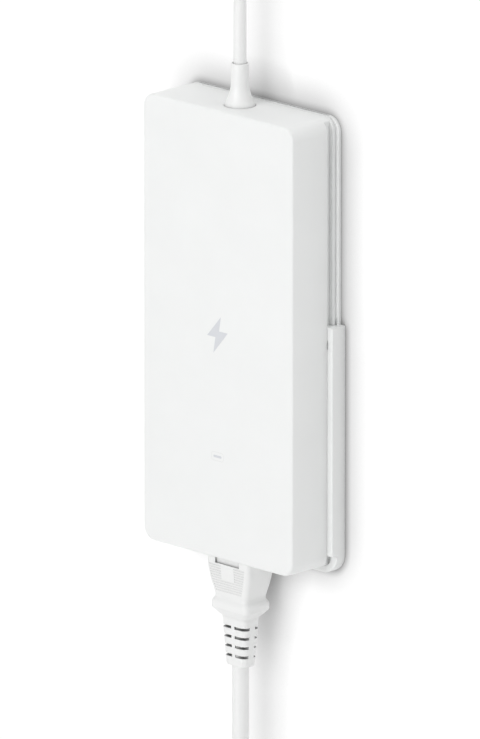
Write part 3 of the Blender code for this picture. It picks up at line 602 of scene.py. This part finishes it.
def cradle():
    """Back plate, two side flanges with inward rails, and the shelf that joins them under the housing."""
    outer = HALF_WIDTH + CRADLE_OVERHANG
    bottom, top = cradle_low.z, cradle_high.z
    low = (-PLATE_HALF, PLATE_FRONT, bottom)
    plate = rounded_block("cradle", low, (PLATE_HALF, 0, top), PLATE_CORNER, 16)
    round_edges(plate, lambda a, b: max(a.y, b.y) < PLATE_FRONT + 1e-6, 0.35 * MM, 3)
    shoe_front = behind(SHELF_DEPTH)
    shoe = add_block("shoe", (-outer, shoe_front, bottom), (outer, -0.02 * MM, FLANGE_TOP))
    round_edges(shoe, lambda a, b: along_depth(a, b) and a.z < 0, FLANGE_CORNER, 16)
    pocket_x = HALF_WIDTH - 0.25 * MM
    pocket_low = (-pocket_x, FRONT_Y, HOUSING_BOTTOM - FIT)
    pocket = add_block("pocket", pocket_low, (pocket_x, PLATE_FRONT, HOUSING_TOP))
    round_edges(pocket, lambda a, b: along_depth(a, b) and a.z < 0, HOUSING_CORNER, 16)
    carve(shoe, pocket)
    carve(plate, shoe, "UNION")
    rail_front = behind(SIDE_DEPTH + 0.1 * MM)
    rail_back = cover_low.y - FIT
    rail_x = HALF_WIDTH - GROOVE_DEPTH + FIT
    wall_x = HALF_WIDTH - FIT
    for side in (-1, 1):
        x = sorted((side * rail_x, side * outer))
        rail = add_block("rail", (x[0], rail_front, RAIL_BOTTOM), (x[1], rail_back, FLANGE_TOP))
        carve(plate, rail, "UNION")
        x = sorted((side * wall_x, side * outer))
        web = add_block("web", (x[0], rail_front, RAIL_BOTTOM), (x[1], shoe_front + 1 * MM, FLANGE_TOP))
        carve(plate, web, "UNION")
        notch = detent(side * HALF_WIDTH, rail_front, FLANGE_TOP - DETENT_DROP)
        carve(plate, notch)
    round_edges(
        plate,
        lambda a, b: min(abs(a.x), abs(b.x)) > outer - 1e-5 and max(a.y, b.y) < rail_front + 1e-6,
        0.3 * MM,
        4,
    )
    carve(plate, backing_rib(top), "UNION")
    for x, z in WALL_SCREWS:
        carve(plate, add_rod("screw_hole", WALL_SCREW_RADIUS, (x, -6 * MM, z), (x, SHORT_PAST, z), 32))
    return finish_piece(plate, looks["shell"], "shell_white", "wall_cradle", "wall_mount")


def cover_screw_heads():
    """Pan-head screws with a cross recess."""
    for number in (1, 2, 3, 4):
        node = f"cover_screw_{number}"
        low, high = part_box(node)
        x, z = (low.x + high.x) / 2, (low.z + high.z) / 2
        head = high.y - SCREW_HEAD_HEIGHT
        screw = add_rod(f"cover_screw_piece_{number}", SCREW_SHANK, (x, low.y, z), (x, head, z), 24)
        cap = add_rod("cap", SCREW_HEAD, (x, head - 0.02 * MM, z), (x, high.y, z), 32)
        round_edges(cap, lambda a, b: min(a.y, b.y) > high.y - 1e-6, 0.6 * MM, 4)
        carve(screw, cap, "UNION")
        for half_x, half_z in ((1.5, 0.35), (0.35, 1.5)):
            low_slot = (x - half_x * MM, high.y - 0.8 * MM, z - half_z * MM)
            high_slot = (x + half_x * MM, high.y + 1 * MM, z + half_z * MM)
            carve(screw, add_block("slot", low_slot, high_slot))
        finish_piece(screw, looks["steel"], "steel", "adapter", node)


# ---------------------------------------------------------------- turned and moulded pieces
def spun(name, profile, centre, sides=56):
    """A ring drawn up or down through (radius, height) points in millimetres, round the local upright."""
    bpy.ops.object.select_all(action="DESELECT")
    x, y, z = centre
    radius, height = profile[0]
    bpy.ops.mesh.primitive_circle_add(vertices=sides, radius=radius * MM, location=(x, y, z + height * MM))
    obj = bpy.context.active_object
    obj.name = name
    bpy.ops.object.transform_apply(location=True, rotation=True, scale=True)
    bpy.ops.object.mode_set(mode="EDIT")
    bpy.ops.mesh.select_mode(type="EDGE")
    bpy.ops.mesh.select_all(action="SELECT")
    for after_radius, after_height in profile[1:]:
        move = {"value": (0, 0, (after_height - height) * MM)}
        bpy.ops.mesh.extrude_region_move(TRANSFORM_OT_translate=move)
        grow = after_radius / radius
        bpy.ops.transform.resize(value=(grow, grow, 1), center_override=(x, y, z))
        radius, height = after_radius, after_height
    bpy.ops.mesh.select_all(action="SELECT")
    bpy.ops.mesh.remove_doubles(threshold=1e-6)
    bpy.ops.mesh.select_all(action="DESELECT")
    bpy.ops.mesh.select_non_manifold()
    if any(edge.select for edge in bmesh.from_edit_mesh(obj.data).edges):
        bpy.ops.mesh.edge_face_add()
    bpy.ops.mesh.select_all(action="SELECT")
    bpy.ops.mesh.normals_make_consistent(inside=False)
    leave_edit()
    return obj


def output_gland():
    """Trumpet-shaped strain relief with a rounded collar top, sitting in a shallow ring recess."""
    profile = [
        (3.05, 19.3), (3.15, 19.65), (3.4, 19.8), (3.75, 19.8), (3.98, 19.68), (4.1, 19.45), (4.15, 19.1),
        (4.15, 10.6), (4.2, 9.4), (4.32, 8.3), (4.52, 7.2), (4.8, 6.1), (5.15, 4.9), (5.55, 3.7), (6.02, 2.5),
        (6.52, 1.4), (6.95, 0.6), (7.17, 0.15), (7.25, -0.15), (7.22, -0.4), (7.05, -0.55), (4.05, -0.55),
        (4.05, -2.4), (6.0, -2.4), (6.0, -4.2), (3.05, -4.2), (3.05, 19.3),
    ]
    gland = spun("gland_moulding", profile, (0, LEAD_Y, HOUSING_TOP))
    return finish_piece(gland, looks["soft"], "soft_white", "adapter", "output_gland")


def output_plug():
    """Grip of the output lead's barrel connector, with four finger rings."""
    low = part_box("output_plug_grip")[0]
    profile = [
        (3.05, 0.6), (3.15, 0.15), (3.5, 0.0), (3.75, 0.25), (4.0, 6.0), (4.3, 12.0), (4.65, 15.0),
        (5.1, 17.5),
    ]
    for ring in range(4):
        base = 18.6 + 2.6 * ring
        profile += [(5.3, base), (5.3, base + 1.3), (4.95, base + 1.5), (4.95, base + 2.4)]
    profile += [(5.3, 29.2), (5.3, 33.3), (5.15, 33.8), (4.8, 34.0), (3.2, 34.0), (3.2, 33.0)]
    grip = spun("output_plug_moulding", profile, (0, LEAD_Y, low.z), 48)
    return finish_piece(grip, looks["soft"], "soft_white", "adapter", "output_plug_grip")


PLUG_OUTLINE = [  # below the housing: drop, width, depth
    (0.35, 26.3, 17.3), (0.7, 26.85, 17.85), (1.3, 27.0, 18.0), (4.0, 26.95, 18.0), (6.5, 26.7, 17.85),
    (9.0, 26.2, 17.5), (11.5, 25.35, 17.0), (14.0, 24.15, 16.35), (16.0, 23.0, 15.8), (17.8, 21.95, 15.25),
    (19.2, 21.15, 14.85), (20.2, 20.75, 14.65), (21.0, 20.85, 14.75), (21.8, 21.6, 15.3), (22.5, 22.7, 16.0),
    (23.1, 23.35, 16.45), (23.6, 23.5, 16.55), (25.9, 23.5, 16.55), (26.3, 23.3, 16.4), (27.0, 22.0, 15.3),
    (30.0, 16.4, 11.2), (30.4, 15.9, 10.75), (30.8, 15.75, 10.6), (35.0, 15.4, 10.2), (44.0, 14.1, 9.3),
    (52.7, 12.95, 8.45), (53.1, 12.75, 8.25), (53.3, 12.3, 7.8),
]
RELIEF_FIRST = 34.9  # drop of the first row of slots, their pitch and their height
RELIEF_PITCH = 4.5
RELIEF_SLOT = 1.35
RELIEF_CORE = 4.15 * MM
PANEL_ROWS = 11
PANEL_FIRST = 5.6  # drop of the first groove, and their pitch
PANEL_PITCH = 1.2
PANEL_HALF = 11.2
PANEL_GROOVE = 0.3  # half of a groove's height
PANEL_DEPTH = 0.1 * MM
TILE = (-3.9, 4.5)  # the plain tile's sides
TILE_BOTTOM = 12


def drawn_block(name, outline, centre, corner, segments=6):
    """A block drawn downwards through (drop, width, depth) sections in millimetres, upright edges rounded."""
    x, y, z = centre
    drop, width, depth = outline[0]
    thin = 0.02 * MM
    low = (x - width / 2 * MM, y - depth / 2 * MM, z - drop * MM - thin)
    obj = add_block(name, low, (x + width / 2 * MM, y + depth / 2 * MM, z - drop * MM))
    pick_faces(obj, lambda centre, normal: normal.z < -0.9)
    for after_drop, after_width, after_depth in outline[1:]:
        move = {"value": (0, 0, (drop - after_drop) * MM)}
        bpy.ops.mesh.extrude_region_move(TRANSFORM_OT_translate=move)
        size = (after_width / width, after_depth / depth, 1)
        bpy.ops.transform.resize(value=size, center_override=(x, y, z))
        drop, width, depth = after_drop, after_width, after_depth
    leave_edit()
    return round_edges(obj, lambda a, b: abs(a.z - b.z) > 1e-6, corner, segments)


def plug_front(drop):
    """Half the plug's depth at this drop below the housing, in millimetres."""
    for (upper, _, deep), (lower, _, after) in zip(PLUG_OUTLINE, PLUG_OUTLINE[1:]):
        if upper <= drop <= lower:
            return (deep + (after - deep) * (drop - upper) / (lower - upper)) / 2
    return PLUG_OUTLINE[-1][2] / 2


def joined(blocks, name):
    """Several separate helper blocks as one object."""
    bpy.ops.object.select_all(action="DESELECT")
    for block in blocks:
        block.select_set(True)
    bpy.context.view_layer.objects.active = blocks[0]
    bpy.ops.object.join()
    blocks[0].name = name
    return blocks[0]


def plug_panel_cutters(top):
    """Fine level grooves in the grip's front and back round a plain tile, and one long recess above."""
    blocks = []
    for side in (-1, 1):
        for row in range(PANEL_ROWS):
            drop = PANEL_FIRST + PANEL_PITCH * row
            half = PANEL_HALF - 3.1 * ((drop - PANEL_FIRST) / 12) ** 1.4
            face = PLUG_Y + side * plug_front(drop) * MM
            inner, outer = sorted((face - side * PANEL_DEPTH, face + side * SHORT_PAST))
            runs = [(-half, TILE[0]), (TILE[1], half)] if drop < TILE_BOTTOM else [(-half, half)]
            for left, right in runs:
                low = (left * MM, inner, top - (drop + PANEL_GROOVE) * MM)
                high = (right * MM, outer, top - (drop - PANEL_GROOVE) * MM)
                blocks.append(add_block("groove", low, high))
        face = PLUG_Y + side * 9.0 * MM
        inner, outer = sorted((face - side * 0.9 * MM, face + side * SHORT_PAST))
        low = (-7.5 * MM, inner, top - 4.65 * MM)
        blocks.append(add_block("recess", low, (7.9 * MM, outer, top - 0.7 * MM)))
    return joined(blocks, "panel_grooves")


def mains_plug():
    """Appliance connector: nose with three slots, waisted grip, flange and slotted strain relief."""
    top = HOUSING_BOTTOM
    grip = drawn_block("mains_plug_moulding", PLUG_OUTLINE, (0, PLUG_Y, top), 2.5 * MM)
    carve(grip, plug_panel_cutters(top))
    for row in range(4):
        z = top - (RELIEF_FIRST + RELIEF_PITCH * row) * MM
        half = RELIEF_SLOT / 2 * MM
        slots = []
        for across in (-1, 1):
            for out in (-1, 1):
                x = sorted((across * 1.0 * MM, across * 12 * MM))
                y = sorted((PLUG_Y + out * 1.65 * MM, PLUG_Y + out * 12 * MM))
                slots.append(add_block("slot", (x[0], y[0], z - half), (x[1], y[1], z + half)))
        slots = joined(slots, "relief_slots")
        carve(slots, add_rod("core", RELIEF_CORE, (0, PLUG_Y, z - 3 * MM), (0, PLUG_Y, z + 3 * MM)))
        carve(grip, slots)
    nose = [(-16, 22.8, 14.8), (-15.7, 23.6, 15.6), (-15.2, 24, 16), (2, 24, 16)]
    carve(grip, drawn_block("nose", nose, (0, PLUG_Y, top), 1.8 * MM, 4), "UNION")
    cord_end = plug_low.z
    bore_low = (0, PLUG_Y, cord_end - 3 * MM)
    carve(grip, add_rod("bore", CORD_BORE, bore_low, (0, PLUG_Y, cord_end + 3.4 * MM)))
    for contact in ("line", "neutral", "earth"):
        low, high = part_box("plug_contact_" + contact)
        slot_low = (low.x - FIT, low.y - FIT, low.z - FIT)
        carve(grip, add_block("slot", slot_low, (high.x + FIT, high.y + FIT, top + 20 * MM)))
    return finish_piece(grip, looks["soft"], "soft_white", "mains_lead", "mains_plug", angle=28)


def wall_plug():
    """Three-pin plug on the far end, drawn down from its strain relief to its face."""
    x = (wall_plug_low.x + wall_plug_high.x) / 2
    y = (wall_plug_low.y + wall_plug_high.y) / 2
    outline = [
        (0, 9.0, 9.0), (0.5, 9.8, 9.8), (6, 10.6, 10.4), (13, 11.8, 11.4), (14.5, 13.0, 12.2),
        (16, 16.0, 14.4), (18, 20.4, 17.6), (20.5, 23.6, 20.8), (23.5, 25.2, 22.6), (28, 25.9, 23.6),
        (34, 26.0, 24.0), (38.6, 26.0, 24.0), (39.6, 25.6, 23.6), (40.0, 24.8, 22.8),
    ]
    body = drawn_block("wall_plug_moulding", outline, (x, y, wall_plug_high.z), 3.6 * MM)
    rings = []
    for row in range(4):
        z = wall_plug_high.z - (3.2 + 2.6 * row) * MM
        for side in (-1, 1):
            span = sorted((y + side * 4.3 * MM, y + side * 9 * MM))
            low = (x - 8 * MM, span[0], z - 0.5 * MM)
            rings.append(add_block("slot", low, (x + 8 * MM, span[1], z + 0.5 * MM)))
    carve(body, joined(rings, "relief_slots"))
    bore_top = wall_plug_high.z + 2 * MM
    carve(body, add_rod("bore", CORD_BORE, (x, y, bore_top - 5.4 * MM), (x, y, bore_top)))
    face = wall_plug_low.z
    for node in ("wall_plug_blade_line", "wall_plug_blade_neutral", "wall_plug_pin_earth"):
        low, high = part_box(node)
        pocket_low = (low.x - FIT, low.y - FIT, face - SHORT_PAST)
        carve(body, add_block("pocket", pocket_low, (high.x + FIT, high.y + FIT, high.z + FIT)))
    return finish_piece(body, looks["soft"], "soft_white", "mains_lead", "wall_plug", angle=28)


def cord_tie():
    """Soft strap round the coil's side."""
    strap = add_block("cord_strap", tie_low, tie_high)
    round_edges(strap, upright, 2.6 * MM, 6)
    wall = 1 * MM
    low = (tie_low.x + wall, tie_low.y + wall, tie_low.z - 2 * MM)
    hole = add_block("hole", low, (tie_high.x - wall, tie_high.y - wall, tie_high.z + 2 * MM))
    carve(strap, round_edges(hole, upright, 1.7 * MM, 6))
    edge_bevel(strap, 0.2 * MM, 2, 50)
    return finish_piece(strap, looks["soft"], "soft_white", "mains_lead", "cord_tie")


# ---------------------------------------------------------------- front marks
def flat_mark(name, outlines, y, look):
    """A thin printed shape on the front, from closed (across, up) outlines."""
    data = bpy.data.curves.new(name, "CURVE")
    data.dimensions = "2D"
    data.fill_mode = "BOTH"
    data.extrude = 0.02 * MM
    for points in outlines:
        spline = data.splines.new("POLY")
        spline.points.add(len(points) - 1)
        for point, (x, z) in zip(spline.points, points):
            point.co = (x, z, 0, 1)
        spline.use_cyclic_u = True
    obj = bpy.data.objects.new(name, data)
    bpy.context.scene.collection.objects.link(obj)
    alone(obj)
    bpy.ops.object.convert(target="MESH")
    obj.rotation_euler = (math.pi / 2, 0, 0)
    obj.location = (0, y, 0)
    bpy.ops.object.transform_apply(location=True, rotation=True, scale=True)
    bpy.ops.object.mode_set(mode="EDIT")
    bpy.ops.mesh.select_all(action="SELECT")
    bpy.ops.mesh.remove_doubles(threshold=1e-6)
    bpy.ops.mesh.normals_make_consistent(inside=False)
    leave_edit()
    return finish_piece(obj, look, "shell_white", "adapter")


def lozenge(x, z, width, height, radius, steps=8):
    """Outline of a small plate with rounded corners."""
    points = []
    for turn, (to_x, to_z) in enumerate(((1, -1), (1, 1), (-1, 1), (-1, -1))):
        centre_x = x + to_x * (width / 2 - radius)
        centre_z = z + to_z * (height / 2 - radius)
        for step in range(steps + 1):
            angle = (turn - 1 + step / steps) * math.pi / 2
            points.append((centre_x + radius * math.cos(angle), centre_z + radius * math.sin(angle)))
    return points


def front_marks():
    """A plain bolt for power and a small outlined lozenge with one bar."""
    grey = moulded("printed_grey", (0.67, 0.685, 0.715), (0.70, 0.715, 0.745), 0.5)
    pale = moulded("printed_pale_grey", (0.80, 0.81, 0.805), (0.82, 0.83, 0.825), 0.5)
    middle = (HOUSING_TOP + HOUSING_BOTTOM) / 2
    x = -0.1 * MM
    bolt = [(2.2, 8.8), (-6.6, -1.2), (-1.3, -1.2), (-2.6, -8.8), (6.6, 1.9), (1.1, 1.9)]
    flat_mark("power_mark", [[(x + a * MM, middle + b * MM) for a, b in bolt]], FRONT_Y, grey)
    low = middle - 57.4 * MM
    rings = [lozenge(x, low, 8.1 * MM, 4.3 * MM, 1.5 * MM), lozenge(x, low, 7.5 * MM, 3.7 * MM, 1.2 * MM)]
    flat_mark("lozenge_outline", rings, FRONT_Y, pale)
    flat_mark("lozenge_bar", [lozenge(x, low, 5.2 * MM, 1.1 * MM, 0.5 * MM, 4)], FRONT_Y, grey)


# ---------------------------------------------------------------- cords
def smooth_run(points, spacing):
    """Points about this far apart on a smooth curve through the given ones."""
    points = [Vector(point) for point in points]
    padded = [2 * points[0] - points[1], *points, 2 * points[-1] - points[-2]]
    run = []
    for a, b, c, d in zip(padded, padded[1:], padded[2:], padded[3:]):
        steps = max(1, round((c - b).length / spacing))
        for step in range(steps):
            t = step / steps
            along = 2 * b + (c - a) * t + (2 * a - 5 * b + 4 * c - d) * t**2
            run.append((along + (3 * b - a - 3 * c + d) * t**3) / 2)
    run.append(points[-1])
    return run


def ease(t):
    t = min(max(t, 0.0), 1.0)
    return t * t * (3 - 2 * t)


def cord_curve(name, run, radius, look, sides=5):
    data = bpy.data.curves.new(name, "CURVE")
    data.dimensions = "3D"
    data.bevel_depth = radius
    data.bevel_resolution = sides
    data.use_fill_caps = True
    spline = data.splines.new("POLY")
    spline.points.add(len(run) - 1)
    for point, place in zip(spline.points, run):
        point.co = (*place, 1)
    spline.use_smooth = True
    data.materials.append(look)
    obj = bpy.data.objects.new(name, data)
    bpy.context.scene.collection.objects.link(obj)
    return obj


SWING_TOP = 68 * MM  # above the coil's centre, where the cord starts to swing to the coil's side
STEP_TURN = math.radians(100)  # the part of a turn in which the cord steps to its next place
SWING_STEPS = 7
TURN_STEPS = 28
FRONT_PASS = -21.6 * MM  # Y of the cord where it passes in front of the coil


def mains_cord_route():
    """Down from the plug, across the coil's front, round five turns, and down to the wall plug."""
    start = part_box("mains_cord")[1].z
    route = [
        Vector((0, PLUG_Y, start + 3 * MM)),
        Vector((0, PLUG_Y, start - 18 * MM)),
        Vector((0, PLUG_Y, -190 * MM)),
        Vector((0, PLUG_Y - 0.9 * MM, -203 * MM)),
        Vector((0, PLUG_Y - 3.8 * MM, COIL_Z + SWING_TOP + 4 * MM)),
    ]
    first_radius = COIL_SLOTS[0][0] * MM
    half_turn = math.atan2(first_radius, SWING_TOP)
    bend = SWING_TOP / 2 / math.sin(2 * half_turn)
    for step in range(SWING_STEPS + 1):
        angle = 2 * half_turn * step / SWING_STEPS
        across = bend * (math.cos(angle) - 1)
        route.append(Vector((across, FRONT_PASS, COIL_Z + SWING_TOP - bend * math.sin(angle))))
    for step in range(SWING_STEPS - 1, 0, -1):
        angle = 2 * half_turn * step / SWING_STEPS
        across = -first_radius + bend * (1 - math.cos(angle))
        route.append(Vector((across, FRONT_PASS, COIL_Z + bend * math.sin(angle))))
    for turn, (radius, y) in enumerate(COIL_SLOTS):
        after = COIL_SLOTS[turn + 1] if turn + 1 < len(COIL_SLOTS) else (radius, y)
        for step in range(TURN_STEPS):
            angle = 2 * math.pi * step / TURN_STEPS
            move = ease((angle - 2 * math.pi + STEP_TURN) / STEP_TURN)
            r = (radius + (after[0] - radius) * move) * MM
            depth = (y + (after[1] - y) * move) * MM
            if turn == 0:
                depth += (FRONT_PASS - y * MM) * (1 - ease(angle / STEP_TURN))
            route.append(Vector((-r * math.cos(angle), depth, COIL_Z - r * math.sin(angle))))
    last_radius, last_y = COIL_SLOTS[-1]
    x = -last_radius * MM
    end = wall_plug_high.z - 3 * MM
    route += [
        Vector((x, last_y * MM, COIL_Z)),
        Vector((x, last_y * MM, COIL_Z - 16 * MM)),
        Vector((x, -7.4 * MM, COIL_Z - 32 * MM)),
        Vector((x, -10.4 * MM, COIL_Z - 46 * MM)),
        Vector((x, -13.8 * MM, COIL_Z - 59 * MM)),
        Vector((x, -14.5 * MM, COIL_Z - 67 * MM)),
        Vector((x, -14.5 * MM, end)),
    ]
    return route


def cords():
    """The mains cord on its whole route, and the output lead held straight up."""
    run = smooth_run(mains_cord_route(), 3 * MM)
    mains = cord_curve("mains_cord_sheath", run, CORD_RADIUS, looks["sheath"], 6)
    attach(mains, "mains_lead")
    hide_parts("mains_cord", "mains_cord_coil", "mains_cord_tail")
    lead = [Vector((0, LEAD_Y, z)) for z in (lead_low.z, gland_high.z, lead_high.z - 20 * MM, lead_high.z)]
    lead_run = smooth_run(lead, 4 * MM)
    output = cord_curve("output_lead_sheath", lead_run, LEAD_RADIUS, looks["sheath"], 6)
    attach(output, "adapter")
    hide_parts("output_lead")
    return mains, output


camera()
looks = make_materials()
stage()
mains, output = cords()

NODE_LOOKS = {
    "shell": ["wall_mount", "front_housing", "rear_cover"],
    "soft": ["output_gland", "output_plug_grip", "mains_plug", "cord_tie", "wall_plug"],
    "black": ["output_plug_insulator", "mains_inlet", "bridge_rectifier", "switch_transistor",
              "output_rectifier", "output_wire_negative"],
    "nickel": ["output_plug_sleeve", "output_plug_contact", "inlet_pin_line", "inlet_pin_neutral",
               "inlet_pin_earth"],
    "brass": ["plug_contact_line", "plug_contact_neutral", "plug_contact_earth", "wall_plug_blade_line",
              "wall_plug_blade_neutral", "wall_plug_pin_earth"],
    "steel": ["cover_screw_1", "cover_screw_2", "cover_screw_3", "cover_screw_4"],
    "aluminium": ["heat_spreader", "primary_heatsink", "secondary_heatsink"],
    "ferrite": ["mains_choke_core", "boost_choke_core", "transformer_core", "output_choke_core"],
    "copper": ["mains_choke_winding", "boost_choke_winding", "transformer_winding", "output_choke_winding"],
    "ceramic": ["fuse"],
    "film": ["insulation_sheet"],
    "yellow": ["x_capacitor"],
    "sleeve": ["bulk_capacitor_1", "bulk_capacitor_2", "output_capacitor_1", "output_capacitor_2",
               "output_capacitor_3"],
    "red": ["output_wire_positive"],
    "brown": ["inlet_wire_line"],
    "blue": ["inlet_wire_neutral"],
    "green": ["inlet_wire_earth"],
    "board": ["circuit_board"],
}
for look, nodes in NODE_LOOKS.items():
    for node in nodes:
        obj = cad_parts[node]
        obj.data.materials.clear()
        obj.data.materials.append(looks[look])

housing_shell()
rear_cover_plate()
cradle()
cover_screw_heads()
output_gland()
output_grip = output_plug()
mains_plug()
far_plug = wall_plug()
strap = cord_tie()
front_marks()
